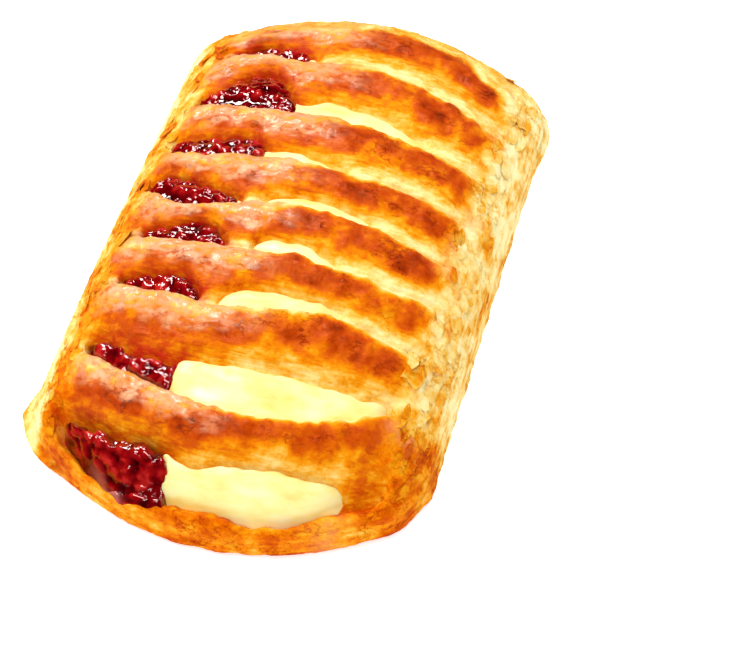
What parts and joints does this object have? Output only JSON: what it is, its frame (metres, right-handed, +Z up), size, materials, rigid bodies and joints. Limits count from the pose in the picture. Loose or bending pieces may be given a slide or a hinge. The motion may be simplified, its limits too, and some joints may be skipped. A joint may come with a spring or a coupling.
{
  "type": "puff pastry slice",
  "caption": "Slatted puff pastry slice, domed and browned, with berry jam along one half and pale custard along the other showing through cross slits.",
  "frame": {"origin": "middle of the bounding box's underside, on the surface the slice rests on", "axes": "+Z up, +Y along the slice towards its back end, +X across it towards the custard half"},
  "size_m": [0.0868, 0.1482, 0.029],
  "materials": {
    "baked_puff_pastry": "egg-washed, browned and flaky",
    "berry_jam": "wet and glossy",
    "vanilla_custard": "smooth and creamy"
  },
  "bodies": {
    "root": {"pastry_crust": "baked_puff_pastry", "berry_jam": "berry_jam", "custard": "vanilla_custard"}
  },
  "joints": []
}
